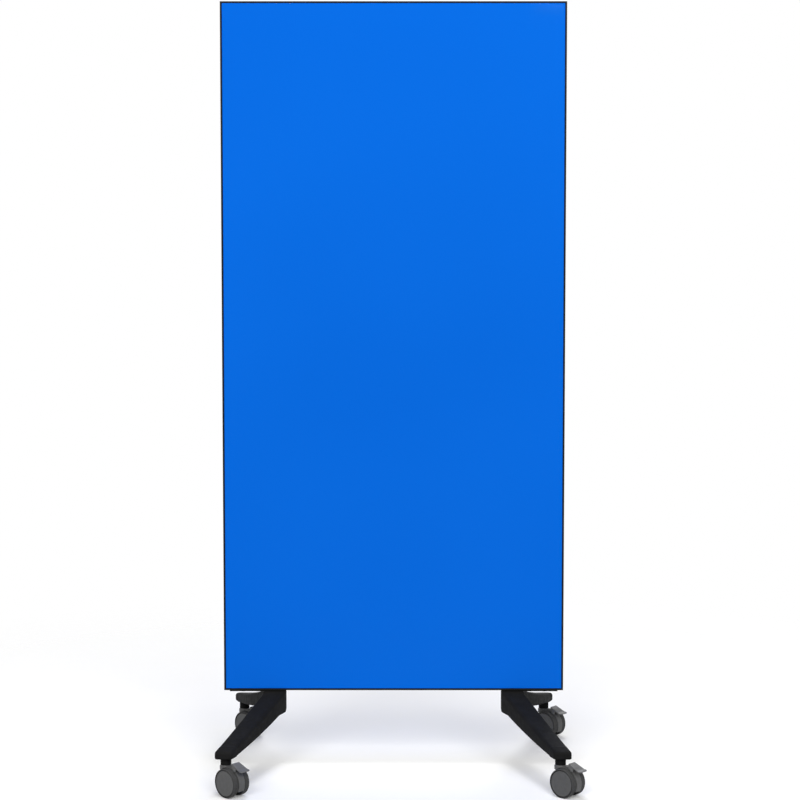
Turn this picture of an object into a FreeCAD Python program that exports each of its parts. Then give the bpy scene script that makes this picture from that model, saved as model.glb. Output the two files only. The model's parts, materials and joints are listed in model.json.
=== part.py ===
import FreeCAD, Part
import math
import os

# Mobile glass whiteboard: a double-sided magnetic glass board in a slim black frame,
# carried by two V-shaped cast feet on four braked twin-wheel casters.
# Millimetres. +X is to the right of the reader, +Y to the rear, +Z up.
# The origin lies on the floor, under the middle of the board.

Vector = FreeCAD.Vector
AXIS_X = Vector(1, 0, 0)
AXIS_Y = Vector(0, 1, 0)
AXIS_Z = Vector(0, 0, 1)
SAME_HEIGHT = 1e-6

# Board: the sandwich of glass, steel and core, and the frame round it
board_width = 880.0
board_height = 1770.0
glass_thickness = 4.0
glass_arris = 0.8
steel_thickness = 0.6
core_thickness = 24.4
frame_web = 3.0
frame_wall = 1.8
frame_chamber_depth = 20.0
frame_edge_chamfer = 0.6
frame_recess = 0.2
mitre_gap = 0.05
seal_width = 1.8
seal_recess = 0.5
key_leg_length = 5.4
insert_clearance = 0.2

# Feet: each is one casting, seen from above a V that opens towards the board's side
caster_inset = 28.0
caster_spacing_y = 560.0
apex_to_caster_x = 132.0
hub_width = 60.0
hub_height = 56.0
arm_root_length = 34.0
arm_waist_width = 57.0
arm_waist_height = 40.0
arm_hub_fall = 4.0
arm_waist_fall = 9.0
arm_top_round = 7.0
arm_bottom_round = 3.0
boss_outer = 20.5
boss_inner = 26.0
boss_front = 24.0
boss_back = 12.0
boss_corner_round = 8.0
boss_height = 25.0
boss_top_round = 7.0
boss_bottom_round = 2.0
boss_tip_margin = 0.6
foot_rise = 100.4
stem_bore_depth = 20.0

# Mounting plates and fasteners
plate_end_inset = 14.5
plate_width = 30.0
plate_thickness = 3.0
bolt_radius = 4.0
bolt_head_radius = 6.5
bolt_head_height = 8.0
bolt_hole_clearance = 0.5
bolt_thread_clearance = 0.03
bolt_grip_in_hub = 25.4
bolt_end_gap = 2.0
counterbore_clearance = 1.0
socket_radius = 3.4
bolt_socket_depth = 4.0
screw_socket_depth = 1.6
screw_head_radius = 7.0
screw_head_height = 2.6
hub_bolt_inset = 17.0
plate_screw_hub_gap = 8.0
plate_screw_end_inset = 34.5

# Casters
swivel_angle = -43.0
wheel_diameter = 72.0
wheel_width = 16.0
wheel_side_gap = 0.6
tyre_thickness = 2.4
tyre_round_share = 0.65
tyre_side_step = 0.5
rim_lip = 0.9
wheel_web = 3.0
wheel_web_inset = 9.5
wheel_hub_radius = 8.0
cap_clearance = 0.2
cap_reveal = 1.4
cap_thickness = 2.8
cap_round = 1.0
axle_radius = 3.0
axle_running_clearance = 0.05
axle_press_clearance = 0.02
caster_trail = 22.0
hood_width = 18.5
hood_proud = 2.0
hood_floor_gap = 18.0
hood_edge_round = 1.6
hood_roof_gap = 1.0
skirt_radius = 15.2
skirt_depth = 9.0
shoulder_height = 1.7
neck_radius = 13.4
neck_height = 1.0
neck_block_margin = 3.4
neck_block_depth = 34.0
stem_radius = 5.0
stem_running_clearance = 0.05
stem_press_clearance = 0.02
stem_thrust_gap = 0.3
stem_depth = 30.0
stem_tip_gap = 1.0
stem_tip_chamfer = 1.0
collar_radius = 13.4
collar_height = 17.0

# Brake pedal, set out from its pivot
pivot_height_over_tread = 6.0
pivot_lean = 22.0
knuckle_radius = 4.2
pedal_pin_radius = 2.0
pedal_pin_clearance = 0.05
pedal_pin_engagement = 2.6
pedal_press_angle = 14.0
pedal_root_width = 23.0
pedal_tip_width = 30.0
pedal_cheek_gap = 0.4
pedal_cheek_radius = 4.6
pedal_plate_thickness = 3.0
pedal_plate_start = -4.0
pedal_plate_rise = 11.5
pedal_plate_length = 31.6
pedal_plate_slope = 24.0
pedal_lip_length = 10.0
pedal_lip_slope = 8.0
pedal_lip_round = 6.0
pedal_edge_round = 1.2
pedal_corner_round = 5.0
pedal_pad_near = 2.0
pedal_pad_far = 9.0
pedal_pad_drop = 1.5
pedal_pad_span = 28.0
pedal_rest_gap = 1.2
brake_gap = 0.4

# Heights and places that follow from the sizes above
wheel_radius = wheel_diameter / 2
hood_neck_top = wheel_diameter + hood_roof_gap + shoulder_height + neck_height
caster_height = hood_neck_top + stem_thrust_gap + collar_height
foot_top = caster_height + foot_rise
board_bottom = foot_top + plate_thickness
board_top = board_bottom + board_height
board_middle = (board_bottom + board_top) / 2
core_half = core_thickness / 2
steel_face = core_half + steel_thickness
board_half = steel_face + glass_thickness
chamber_half = core_half - frame_wall
frame_depth = frame_web + frame_chamber_depth + frame_wall
pane_margin = frame_web + seal_width
caster_x = board_width / 2 - caster_inset
caster_y = caster_spacing_y / 2
apex_x = caster_x - apex_to_caster_x
plate_end_x = board_width / 2 - plate_end_inset
hub_half = plate_width / 2
arm_length = caster_y - hub_half
arm_slope = (foot_rise - boss_height) / arm_length
wheel_inner_face = hood_width / 2 + wheel_side_gap
wheel_outer_face = wheel_inner_face + wheel_width
rim_radius = wheel_radius - tyre_thickness
tyre_round = tyre_thickness * tyre_round_share
cap_seat_radius = rim_radius - rim_lip
wheel_web_face = wheel_inner_face + wheel_web_inset + wheel_web
axle_half_length = wheel_web_face - cap_clearance
key_inner = frame_web + insert_clearance
key_outer = frame_web + frame_chamber_depth - insert_clearance
key_reach = key_outer + key_leg_length
anchor_top = board_bottom + key_outer

CORNERS = {
    "front_left": (-1, -1),
    "front_right": (1, -1),
    "rear_left": (-1, 1),
    "rear_right": (1, 1),
}
SIDES = {"left": -1, "right": 1}


# Shapes that several pieces are made of
def box(low, high):
    size = high - low
    return Part.makeBox(size.x, size.y, size.z, low)


def corner_arc(before, here, after, radius):
    """Start, middle and end of the arc that rounds one corner, seen from its two neighbours."""
    towards = [(before - here).normalize(), (after - here).normalize()]
    half_angle = towards[0].getAngle(towards[1]) / 2
    reach = radius / math.tan(half_angle)
    inward = (towards[0] + towards[1]).normalize()
    middle = here + inward * (radius / math.sin(half_angle) - radius)
    return here + towards[0] * reach, middle, here + towards[1] * reach


def rounded_wire(corners, place):
    """Closed wire through (u, v, radius) corners, with an arc at each corner that has a radius."""
    points = [Vector(u, v, 0) for u, v, radius in corners]
    count = len(corners)
    arcs = []
    for i in range(count):
        arc = [points[i]] * 3
        if corners[i][2]:
            arc = corner_arc(points[i - 1], points[i], points[(i + 1) % count], corners[i][2])
        arcs.append([place(p.x, p.y) for p in arc])
    edges = []
    for i in range(count):
        edges.append(Part.LineSegment(arcs[i - 1][2], arcs[i][0]).toShape())
        if corners[i][2]:
            edges.append(Part.Arc(*arcs[i]).toShape())
    return Part.Wire(edges)


def prism(corners, place, along):
    return Part.Face(rounded_wire(corners, place)).extrude(along)


def turned(corners):
    """Solid of revolution about the Y axis, from (radius, y, corner radius) corners."""
    face = Part.Face(rounded_wire(corners, lambda r, y: Vector(r, y, 0)))
    return face.revolve(Vector(0, 0, 0), AXIS_Y, 360)


def disc(centre, radius, half_width, edge_round):
    """Cylinder across Y with both rims rounded."""
    start = centre - AXIS_Y * half_width
    solid = Part.makeCylinder(radius, 2 * half_width, start, AXIS_Y)
    rims = [e for e in solid.Edges if isinstance(e.Curve, Part.Circle)]
    return solid.makeFillet(edge_round, rims)


def group(solids):
    return Part.makeCompound(solids)


# Board
def glass_pane(side):
    half_width = board_width / 2 - pane_margin
    low = Vector(-half_width, steel_face, board_bottom + pane_margin)
    high = Vector(half_width, board_half, board_top - pane_margin)
    pane = box(low, high)
    outer_edges = [e for e in pane.Edges if all(v.Y > board_half - glass_arris for v in e.Vertexes)]
    pane = pane.makeChamfer(glass_arris, outer_edges)
    return pane if side > 0 else pane.mirror(Vector(0, 0, 0), AXIS_Y)


def steel_sheet(side):
    half_width = board_width / 2 - pane_margin
    near, far = sorted((side * core_half, side * steel_face))
    low = Vector(-half_width, near, board_bottom + pane_margin)
    return box(low, Vector(half_width, far, board_top - pane_margin))


def core_board():
    half_width = board_width / 2 - frame_depth
    low = Vector(-half_width, -core_half, board_bottom + frame_depth)
    return box(low, Vector(half_width, core_half, board_top - frame_depth))


def edge_seal(side):
    near, far = sorted((side * core_half, side * (board_half - seal_recess)))
    rings = []
    for margin in (frame_web, pane_margin):
        half_width = board_width / 2 - margin
        low = Vector(-half_width, near, board_bottom + margin)
        rings.append(box(low, Vector(half_width, far, board_top - margin)))
    return rings[0].cut(rings[1])


def frame_rail(length):
    """Mitred extrusion along X, outer face down at z = 0: a web, and a hollow chamber behind it."""
    web_half = board_half - frame_recess
    c = frame_edge_chamfer
    start = Vector(-length / 2, 0, 0)
    web = [
        (-web_half + c, 0, 0), (web_half - c, 0, 0), (web_half, c, 0),
        (web_half, frame_web, 0), (-web_half, frame_web, 0), (-web_half, c, 0),
    ]
    rail = prism(web, lambda y, z: start + Vector(0, y, z), AXIS_X * length)
    tube = box(Vector(-length / 2, -core_half, frame_web), Vector(length / 2, core_half, frame_depth))
    bore_top = frame_web + frame_chamber_depth
    bore = box(Vector(-length / 2, -chamber_half, frame_web), Vector(length / 2, chamber_half, bore_top))
    end = length / 2 - mitre_gap
    trapezium = [
        (-end, 0, 0), (end, 0, 0), (end - frame_depth, frame_depth, 0), (frame_depth - end, frame_depth, 0),
    ]
    reach = 2 * board_half
    mitre = prism(trapezium, lambda x, z: Vector(x, -board_half, z), AXIS_Y * reach)
    return rail.fuse(tube.cut(bore)).common(mitre).removeSplitter()


def frame_bottom():
    rail = frame_rail(board_width)
    rail.translate(AXIS_Z * board_bottom)
    for x in fastener_places():
        start = Vector(x, 0, board_bottom - frame_web)
        rail = rail.cut(Part.makeCylinder(bolt_radius + bolt_hole_clearance, 2 * frame_web, start, AXIS_Z))
    return rail


def frame_top():
    rail = frame_rail(board_width)
    rail.rotate(Vector(0, 0, 0), AXIS_Y, 180)
    rail.translate(AXIS_Z * board_top)
    return rail


def frame_side(side):
    rail = frame_rail(board_height)
    rail.rotate(Vector(0, 0, 0), AXIS_Y, -90 * side)
    rail.translate(Vector(side * board_width / 2, 0, board_middle))
    return rail


def corner_keys():
    """Four L-shaped keys that fill the frame's chamber round each mitred corner."""
    half = chamber_half - insert_clearance
    elbow = [
        (key_inner, key_inner, 0), (key_reach, key_inner, 0), (key_reach, key_outer, 0),
        (key_outer, key_outer, 0), (key_outer, key_reach, 0), (key_inner, key_reach, 0),
    ]
    keys = []
    for sx in (-1, 1):
        for sz in (-1, 1):
            corner = Vector(-sx * board_width / 2, -half, board_middle - sz * board_height / 2)
            place = lambda u, v: corner + Vector(sx * u, 0, sz * v)
            keys.append(prism(elbow, place, AXIS_Y * (2 * half)))
    return group(keys)


def anchor_bar():
    """Tapped steel bar along the bottom rail, from one lower corner key to the other."""
    half = chamber_half - insert_clearance
    end = board_width / 2 - key_reach - insert_clearance
    bar = box(Vector(-end, -half, board_bottom + frame_web), Vector(end, half, anchor_top))
    for x in fastener_places():
        start = Vector(x, 0, board_bottom)
        bar = bar.cut(Part.makeCylinder(bolt_radius + bolt_thread_clearance, anchor_top, start, AXIS_Z))
    return bar


# Feet
def foot_fastener_places(side):
    return hub_bolt_places(side) + plate_screw_places(side)


def hub_bolt_places(side):
    return [side * (apex_x + hub_bolt_inset), side * (apex_x + hub_width - hub_bolt_inset)]


def plate_screw_places(side):
    first = apex_x + hub_width + screw_head_radius + plate_screw_hub_gap
    return [side * first, side * (plate_end_x - plate_screw_end_inset)]


def fastener_places():
    return [x for side in SIDES.values() for x in foot_fastener_places(side)]


def arm_section(inner_x, outer_x, y, low_z, high_z, outer_fall):
    """Upright section of an arm: the top falls towards the outside and is well rounded."""
    corners = [
        (inner_x, low_z, arm_bottom_round), (outer_x, low_z, arm_bottom_round),
        (outer_x, high_z - outer_fall, arm_top_round), (inner_x, high_z, arm_top_round),
    ]
    return rounded_wire(corners, lambda x, z: Vector(x, y, z))


def hub_section(y, outer_fall):
    return arm_section(apex_x, apex_x + hub_width, y, foot_top - hub_height, foot_top, outer_fall)


def between(start, end, share):
    return start + (end - start) * share


def foot_arm():
    """Front arm of the right foot: one straight top line from the hub's face to the middle of the boss."""
    waist_reach = arm_length / 2
    waist_x = (apex_x + hub_width / 2 + caster_x) / 2
    waist_inner = waist_x - arm_waist_width / 2
    waist_outer = waist_x + arm_waist_width / 2
    waist_top = foot_top - arm_slope * waist_reach
    root_share = arm_root_length / waist_reach
    root = arm_section(
        between(apex_x, waist_inner, root_share), between(apex_x + hub_width, waist_outer, root_share),
        -hub_half - arm_root_length, foot_top - hub_height, foot_top - arm_slope * arm_root_length,
        between(arm_hub_fall, arm_waist_fall, root_share),
    )
    waist = arm_section(
        waist_inner, waist_outer, -hub_half - waist_reach,
        waist_top - arm_waist_height, waist_top, arm_waist_fall,
    )
    tip = arm_section(
        caster_x - boss_inner + boss_tip_margin, caster_x + boss_outer - boss_tip_margin, -caster_y,
        caster_height + boss_tip_margin, caster_height + boss_height - boss_tip_margin, 0,
    )
    knee = Part.makeLoft([hub_section(-hub_half, arm_hub_fall), root], True, True)
    return knee.fuse(Part.makeLoft([root, waist, tip], True, False))


def foot_boss():
    """Blunt end of an arm: its sides run on along the arm, its top falls with it, and its front is flat."""
    middle = Vector(caster_x, -caster_y, caster_height)
    lean = (caster_x - apex_x - hub_width / 2) / arm_length
    ends = [
        (boss_outer, -boss_front), (boss_outer, boss_back),
        (-boss_inner, boss_back), (-boss_inner, -boss_front),
    ]
    plan = [(x - lean * y, y, boss_corner_round) for x, y in ends]
    reach = boss_outer + boss_inner
    top = boss_height + arm_slope * reach
    boss = prism(plan, lambda x, y: middle + Vector(x, y, 0), AXIS_Z * top)
    above = [(-reach, boss_height - arm_slope * reach, 0), (reach, top, 0), (-reach, top, 0)]
    boss = boss.cut(prism(above, lambda y, z: middle + Vector(-reach, y, z), AXIS_X * (2 * reach)))
    slanted_rim = [e for e in boss.Edges if e.BoundBox.ZMin > caster_height + SAME_HEIGHT]
    boss = boss.makeFillet(boss_top_round, slanted_rim)
    lower_rim = [e for e in boss.Edges if e.BoundBox.ZMax < caster_height + SAME_HEIGHT]
    return boss.makeFillet(boss_bottom_round, lower_rim)


def foot(side):
    arm = foot_arm()
    boss = foot_boss()
    rear = [piece.mirror(Vector(0, 0, 0), AXIS_Y) for piece in (arm, boss)]
    hub = Part.Face(hub_section(-hub_half, 0)).extrude(AXIS_Y * plate_width)
    casting = hub.multiFuse([arm, boss, *rear])
    for y in (-caster_y, caster_y):
        start = Vector(caster_x, y, caster_height)
        bore = Part.makeCylinder(stem_radius + stem_press_clearance, stem_bore_depth, start, AXIS_Z)
        casting = casting.cut(bore)
    for x in hub_bolt_places(1):
        base = Vector(x, 0, foot_top - hub_height)
        shank = Part.makeCylinder(bolt_radius + bolt_hole_clearance, hub_height, base, AXIS_Z)
        head_room = hub_height - bolt_grip_in_hub
        head = Part.makeCylinder(bolt_head_radius + counterbore_clearance, head_room, base, AXIS_Z)
        casting = casting.cut(shank.fuse(head))
    casting = casting.removeSplitter()
    return casting if side > 0 else casting.mirror(Vector(0, 0, 0), AXIS_X)


def foot_plate(side):
    low = Vector(apex_x, -plate_width / 2, foot_top)
    plate = box(low, Vector(plate_end_x, plate_width / 2, board_bottom))
    for x in foot_fastener_places(1):
        start = Vector(x, 0, foot_top)
        hole = Part.makeCylinder(bolt_radius + bolt_hole_clearance, plate_thickness, start, AXIS_Z)
        plate = plate.cut(hole)
    return plate if side > 0 else plate.mirror(Vector(0, 0, 0), AXIS_X)


def socket_fastener(x, seat_z, head_radius, head_height, socket_depth):
    """Screw pointing up, head under seat_z with a hexagon socket, shank up into the anchor bar."""
    base = Vector(x, 0, seat_z - head_height)
    head = Part.makeCylinder(head_radius, head_height, base, AXIS_Z)
    shank_length = anchor_top - bolt_end_gap - seat_z
    shank = Part.makeCylinder(bolt_radius, shank_length, Vector(x, 0, seat_z), AXIS_Z)
    corners = []
    for i in range(6):
        angle = math.radians(60 * i)
        corners.append((x + socket_radius * math.cos(angle), socket_radius * math.sin(angle), 0))
    socket = prism(corners, lambda u, v: Vector(u, v, base.z), AXIS_Z * socket_depth)
    return head.fuse(shank).cut(socket)


def hub_bolts():
    seat = foot_top - bolt_grip_in_hub
    places = [x for side in SIDES.values() for x in hub_bolt_places(side)]
    head = (bolt_head_radius, bolt_head_height, bolt_socket_depth)
    return group([socket_fastener(x, seat, *head) for x in places])


def plate_screws():
    places = [x for side in SIDES.values() for x in plate_screw_places(side)]
    head = (screw_head_radius, screw_head_height, screw_socket_depth)
    return group([socket_fastener(x, foot_top, *head) for x in places])


# Casters, each set out with its stem on the Z axis and its wheels trailing towards +X
def wheel_centre():
    return Vector(caster_trail, 0, wheel_radius)


def pedal_pivot():
    lean = math.radians(pivot_lean)
    reach = wheel_radius + pivot_height_over_tread
    return wheel_centre() + Vector(reach * math.sin(lean), 0, reach * math.cos(lean))


def caster_stem():
    collar_low = hood_neck_top + stem_thrust_gap
    low = hood_neck_top - stem_depth + stem_tip_gap
    high = caster_height + stem_bore_depth - stem_tip_gap
    pin = Part.makeCylinder(stem_radius, high - low, Vector(0, 0, low), AXIS_Z)
    pin = pin.makeChamfer(stem_tip_chamfer, [e for e in pin.Edges if isinstance(e.Curve, Part.Circle)])
    collar = Part.makeCylinder(collar_radius, collar_height, Vector(0, 0, collar_low), AXIS_Z)
    return pin.fuse(collar)


def caster_hood():
    """Body between the two wheels: a disc on the axle, the stem's socket, and the pedal's knuckle."""
    half = hood_width / 2
    centre = wheel_centre()
    pivot = pedal_pivot()
    body = disc(centre, wheel_radius + hood_proud, half, hood_edge_round)
    roof = wheel_diameter + hood_roof_gap
    socket_half = stem_radius + neck_block_margin
    spine = [
        (-socket_half, roof - neck_block_depth, 0), (pivot.x, centre.z, 0),
        (pivot.x, pivot.z + knuckle_radius, 0), (socket_half, roof + shoulder_height / 2, 0),
        (-socket_half, roof + shoulder_height / 2, 0),
    ]
    block = prism(spine, lambda x, z: Vector(x, -half, z), AXIS_Y * hood_width)
    skirt = Part.makeCylinder(skirt_radius, skirt_depth, Vector(0, 0, roof - skirt_depth), AXIS_Z)
    shoulder = Part.makeCone(skirt_radius, neck_radius, shoulder_height, Vector(0, 0, roof), AXIS_Z)
    for side in SIDES.values():
        start = centre + AXIS_Y * (side * half)
        skirt = skirt.cut(Part.makeCylinder(wheel_radius + hood_roof_gap, skirt_radius, start, AXIS_Y * side))
    neck = Part.makeCylinder(neck_radius, neck_height, Vector(0, 0, roof + shoulder_height), AXIS_Z)
    knuckle = Part.makeCylinder(knuckle_radius, hood_width, pivot - AXIS_Y * half, AXIS_Y)
    web_low = Vector(pivot.x - knuckle_radius, -half, centre.z)
    web = box(web_low, Vector(pivot.x + knuckle_radius, half, pivot.z))
    hood = body.multiFuse([block, skirt, shoulder, neck, knuckle, web])
    floor_cut_low = Vector(centre.x - wheel_diameter, -half, -wheel_diameter)
    hood = hood.cut(box(floor_cut_low, Vector(centre.x + wheel_diameter, half, hood_floor_gap)))
    stem_base = Vector(0, 0, hood_neck_top - stem_depth)
    cuts = [
        Part.makeCylinder(stem_radius + stem_running_clearance, stem_depth, stem_base, AXIS_Z),
        Part.makeCylinder(axle_radius + axle_press_clearance, hood_width, centre - AXIS_Y * half, AXIS_Y),
        Part.makeCylinder(pedal_pin_radius + pedal_pin_clearance, hood_width, pivot - AXIS_Y * half, AXIS_Y),
    ]
    for cut in cuts:
        hood = hood.cut(cut)
    return hood.removeSplitter()


def caster_axle():
    start = wheel_centre() - AXIS_Y * axle_half_length
    return Part.makeCylinder(axle_radius, 2 * axle_half_length, start, AXIS_Y)


def on_axle(solid, side):
    """Moves a wheel piece, turned about Y with its outer side at +Y, to its place on the axle."""
    placed = solid if side > 0 else solid.mirror(Vector(0, 0, 0), AXIS_Y)
    placed.translate(wheel_centre())
    return placed


def caster_wheel(side):
    bore = axle_radius + axle_running_clearance
    web_in = wheel_inner_face + wheel_web_inset
    rim_in = wheel_inner_face + tyre_side_step
    rim_out = wheel_outer_face - tyre_side_step
    section = [
        (bore, wheel_inner_face, 0), (wheel_hub_radius, wheel_inner_face, 0), (wheel_hub_radius, web_in, 0),
        (cap_seat_radius, web_in, 0), (cap_seat_radius, rim_in, 0), (rim_radius, rim_in, 0),
        (rim_radius, rim_out, 0), (cap_seat_radius, rim_out, 0), (cap_seat_radius, wheel_web_face, 0),
        (bore, wheel_web_face, 0),
    ]
    return on_axle(turned(section), side)


def caster_tyre(side):
    near = wheel_inner_face
    far = wheel_outer_face
    section = [
        (rim_radius, near + tyre_side_step, 0), (wheel_radius, near, tyre_round),
        (wheel_radius, far, tyre_round), (rim_radius, far - tyre_side_step, 0),
    ]
    return on_axle(turned(section), side)


def caster_cap(side):
    radius = cap_seat_radius - cap_reveal
    cap = Part.makeCylinder(radius, cap_thickness, AXIS_Y * wheel_web_face, AXIS_Y)
    rims = [e for e in cap.Edges if isinstance(e.Curve, Part.Circle) and e.CenterOfMass.y > wheel_web_face]
    return on_axle(cap.makeFillet(cap_round, rims), side)


def downhill(slope, length):
    return Vector(math.cos(math.radians(slope)), 0, -math.sin(math.radians(slope))) * length


def pedal_tongue(pivot):
    """Sloping plate that the toe presses: it widens from the root and flattens out into a lip."""
    root_half = pedal_root_width / 2
    tip_half = pedal_tip_width / 2
    widest = max(root_half, tip_half)
    bend = Vector(pedal_plate_start, 0, pedal_plate_rise) + downhill(pedal_plate_slope, pedal_plate_length)
    end = bend + downhill(pedal_lip_slope, pedal_lip_length)
    thick = AXIS_Z * pedal_plate_thickness
    start = Vector(pedal_plate_start, 0, pedal_plate_rise)
    outline = [
        (start, pedal_edge_round), (bend, pedal_lip_round), (end, pedal_edge_round),
        (end - thick, pedal_edge_round), (bend - thick, pedal_lip_round), (start - thick, pedal_edge_round),
    ]
    corners = [(p.x, p.z, radius) for p, radius in outline]
    plate = prism(corners, lambda u, v: pivot + Vector(u, -widest, v), AXIS_Y * (2 * widest))
    plan = [
        (start.x, -root_half, pedal_edge_round), (end.x, -tip_half, pedal_corner_round),
        (end.x, tip_half, pedal_corner_round), (start.x, root_half, pedal_edge_round),
    ]
    reach = pedal_plate_length + pedal_lip_length
    low = pivot - AXIS_Z * reach
    return plate.common(prism(plan, lambda u, v: low + Vector(u, v, 0), AXIS_Z * (2 * reach)))


def pedal_cheek(pivot, low_y, high_y):
    """One side wall under the tongue: it carries the pivot pin and reaches down to the tread."""
    slope = math.tan(math.radians(pedal_plate_slope))
    inside = pedal_plate_thickness / 2
    top = pedal_plate_rise - inside
    fall = (pedal_pad_far - pedal_plate_start) * slope
    wall = [
        (-pedal_cheek_radius, 0, 0), (pedal_plate_start, top, 0), (pedal_pad_far, top - fall, 0),
        (pedal_pad_far, -2 * pivot_height_over_tread, 0), (pedal_pad_near, -2 * pivot_height_over_tread, 0),
        (pedal_pad_near, -pedal_pad_near, 0),
    ]
    side = prism(wall, lambda u, v: pivot + Vector(u, low_y, v), AXIS_Y * (high_y - low_y))
    eye_start = pivot + AXIS_Y * low_y
    return side.fuse(Part.makeCylinder(pedal_cheek_radius, high_y - low_y, eye_start, AXIS_Y))


def brake_pad(pivot, low_y, high_y):
    """Block that stands out sideways from a cheek, over the tread that it brakes."""
    low = Vector(pedal_pad_near, low_y, -2 * pivot_height_over_tread)
    high = Vector(pedal_pad_far, high_y, -pedal_pad_drop)
    return box(pivot + low, pivot + high)


def tread_clearance(gap):
    start = wheel_centre() - AXIS_Y * pedal_pad_span
    return Part.makeCylinder(wheel_radius + gap, 2 * pedal_pad_span, start, AXIS_Y)


def caster_pedal():
    pivot = pedal_pivot()
    cheek_half = pedal_root_width / 2
    pad_half = pedal_pad_span / 2
    inner = hood_width / 2 + pedal_cheek_gap
    pressed_tread = tread_clearance(brake_gap)
    pressed_tread.rotate(pivot, AXIS_Y, -pedal_press_angle)
    pedal = pedal_tongue(pivot)
    for side in SIDES.values():
        cheek_y = sorted((side * inner, side * cheek_half))
        pad_y = sorted((side * inner, side * pad_half))
        pedal = pedal.multiFuse([pedal_cheek(pivot, *cheek_y), brake_pad(pivot, *pad_y)])
    pedal = pedal.cut(pressed_tread).cut(tread_clearance(pedal_rest_gap))
    pin_end = hood_width / 2 - pedal_pin_engagement
    for side in SIDES.values():
        start = pivot + AXIS_Y * (side * pin_end)
        pedal = pedal.fuse(Part.makeCylinder(pedal_pin_radius, cheek_half - pin_end, start, AXIS_Y * side))
    return pedal.removeSplitter()


def caster_pieces():
    pieces = {
        "stem": caster_stem(),
        "hood": caster_hood(),
        "axle": caster_axle(),
        "pedal": caster_pedal(),
    }
    for name, side in SIDES.items():
        pieces["wheel_" + name] = caster_wheel(side)
        pieces["tyre_" + name] = caster_tyre(side)
        pieces["cap_" + name] = caster_cap(side)
    return pieces


def placed_caster(pieces, corner):
    sx, sy = CORNERS[corner]
    placed = {}
    for name, solid in pieces.items():
        copy = solid.copy()
        copy.rotate(Vector(0, 0, 0), AXIS_Z, swivel_angle)
        copy.translate(Vector(sx * caster_x, sy * caster_y, 0))
        placed[corner + "_" + name] = copy
    return placed


def all_pieces():
    pieces = {
        "front_glass": glass_pane(-1),
        "rear_glass": glass_pane(1),
        "front_steel_sheet": steel_sheet(-1),
        "rear_steel_sheet": steel_sheet(1),
        "core_board": core_board(),
        "front_seal": edge_seal(-1),
        "rear_seal": edge_seal(1),
        "frame_bottom": frame_bottom(),
        "frame_top": frame_top(),
        "corner_keys": corner_keys(),
        "anchor_bar": anchor_bar(),
        "hub_bolts": hub_bolts(),
        "plate_screws": plate_screws(),
    }
    for name, side in SIDES.items():
        pieces["frame_" + name] = frame_side(side)
        pieces[name + "_foot"] = foot(side)
        pieces[name + "_foot_plate"] = foot_plate(side)
    caster = caster_pieces()
    for corner in CORNERS:
        pieces.update(placed_caster(caster, corner))
    return pieces


def main():
    os.makedirs("parts", exist_ok=True)
    for name, shape in all_pieces().items():
        shape.exportStep(os.path.join("parts", name + ".step"))
        print(name, len(shape.Solids), shape.isValid(), round(shape.Volume))


main()
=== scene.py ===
# %% [markdown]
# # A mobile glass whiteboard, dressed in Blender
# The imported CAD model is the fixed frame of this lesson: every solid already stands in its place, in metres.
# Blender adds what plain solids lack, such as soft cast edges, turned wheels, seals, grip ribs and finishes.

# %% Load the frame
import json
import math

import bmesh
import bpy
from mathutils import Matrix, Vector

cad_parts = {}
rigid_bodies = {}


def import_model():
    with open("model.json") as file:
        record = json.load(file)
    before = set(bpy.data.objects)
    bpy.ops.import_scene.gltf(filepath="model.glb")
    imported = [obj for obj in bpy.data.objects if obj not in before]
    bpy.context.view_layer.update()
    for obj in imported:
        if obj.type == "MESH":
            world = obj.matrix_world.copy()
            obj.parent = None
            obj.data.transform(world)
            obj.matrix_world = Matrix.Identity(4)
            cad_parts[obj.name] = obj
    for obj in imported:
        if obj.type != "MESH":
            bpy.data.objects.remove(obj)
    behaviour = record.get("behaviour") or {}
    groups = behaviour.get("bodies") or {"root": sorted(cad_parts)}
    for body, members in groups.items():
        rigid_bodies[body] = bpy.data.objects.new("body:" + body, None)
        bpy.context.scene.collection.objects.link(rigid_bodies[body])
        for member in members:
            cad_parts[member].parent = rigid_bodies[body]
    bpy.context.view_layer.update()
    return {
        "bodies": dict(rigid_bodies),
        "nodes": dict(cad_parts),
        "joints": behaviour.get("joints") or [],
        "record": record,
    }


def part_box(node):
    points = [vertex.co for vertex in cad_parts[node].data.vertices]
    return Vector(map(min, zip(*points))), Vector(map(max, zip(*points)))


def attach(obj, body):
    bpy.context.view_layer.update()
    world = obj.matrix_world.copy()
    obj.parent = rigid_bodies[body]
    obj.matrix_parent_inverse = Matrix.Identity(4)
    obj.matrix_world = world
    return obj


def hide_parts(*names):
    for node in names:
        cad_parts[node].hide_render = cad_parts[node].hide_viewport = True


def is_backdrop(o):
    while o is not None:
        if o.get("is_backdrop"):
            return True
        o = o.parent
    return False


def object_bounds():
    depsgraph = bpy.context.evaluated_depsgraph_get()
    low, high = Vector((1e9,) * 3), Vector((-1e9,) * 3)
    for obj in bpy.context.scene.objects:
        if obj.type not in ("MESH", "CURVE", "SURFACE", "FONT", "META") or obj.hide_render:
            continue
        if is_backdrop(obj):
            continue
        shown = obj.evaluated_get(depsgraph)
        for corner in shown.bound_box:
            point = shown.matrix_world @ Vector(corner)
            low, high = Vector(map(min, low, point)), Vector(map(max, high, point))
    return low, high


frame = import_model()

scene = bpy.context.scene
kept = set(frame["nodes"].values()) | set(frame["bodies"].values())
for spare in [item for item in bpy.data.objects if item not in kept]:
    bpy.data.objects.remove(spare)

# %% [markdown]
# ## Colour management
# A finish should come out of the render as it was written down, so the plain Standard transform is used.
# Film-like transforms would soften the strong blue of the glass, which is the first thing to recognise here.

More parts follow.
